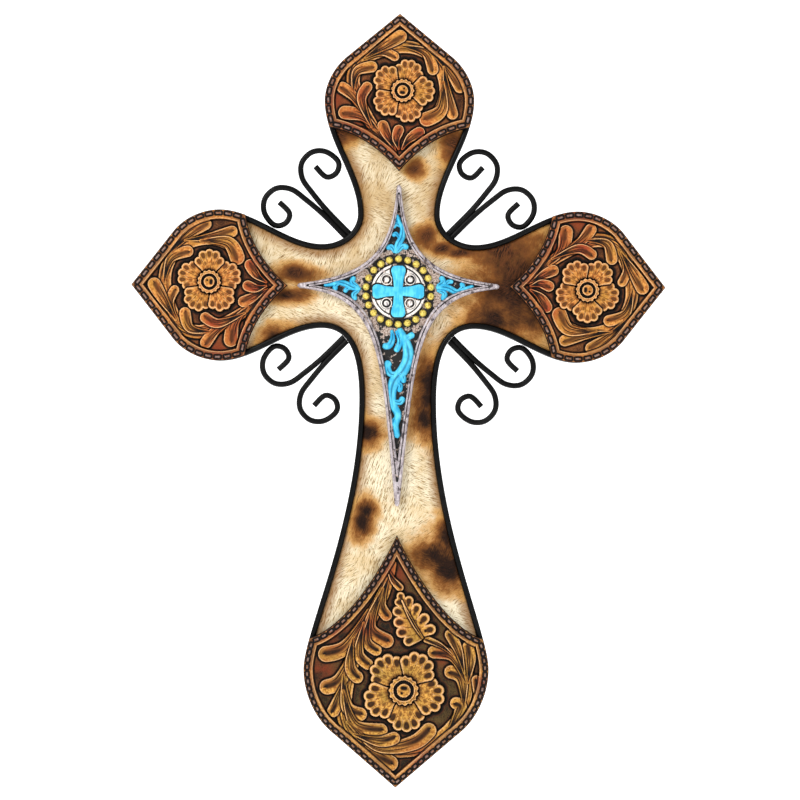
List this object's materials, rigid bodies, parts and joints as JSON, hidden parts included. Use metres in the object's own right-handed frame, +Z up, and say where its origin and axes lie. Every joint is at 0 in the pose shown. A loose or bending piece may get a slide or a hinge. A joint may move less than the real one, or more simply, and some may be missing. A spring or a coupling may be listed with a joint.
{
  "type": "wall cross",
  "caption": "Wall cross covered in spotted hide, edged in black iron, with tooled leather tips, iron scrolls at its corners and a silver star with turquoise scrollwork.",
  "frame": {"origin": "middle of the sawtooth hanger's wall face, on the wall plane behind the top arm", "axes": "+Z up along the long axis, +X to the right as seen from the front, +Y into the wall; the front faces -Y"},
  "size_m": [0.3448, 0.0163, 0.4996],
  "materials": {
    "black_iron": "black painted forged iron, satin, with a faint worn highlight along its front",
    "hide": "short-haired cream hide with dark brown spots fringed in orange, stretched over a thin fibreboard",
    "tooled_leather": "hand-tooled tan leather, dark antiquing in its hollows, reddish washes and pale worn edges, satin",
    "silver": "brushed antique silver with blackened hollows, gold-coloured beads and matt turquoise enamel on its scrollwork and cross",
    "hanger_steel": "plain bright sheet steel"
  },
  "bodies": {
    "root": {"edging": "black_iron", "hide_panel": "hide", "tip_top": "tooled_leather", "tip_left": "tooled_leather", "tip_right": "tooled_leather", "tip_foot": "tooled_leather", "star": "silver", "scrolls_top_left": "black_iron", "scrolls_top_right": "black_iron", "scrolls_bottom_left": "black_iron", "scrolls_bottom_right": "black_iron", "hanger": "hanger_steel", "hanger_nail_left": "hanger_steel", "hanger_nail_right": "hanger_steel"}
  },
  "joints": []
}
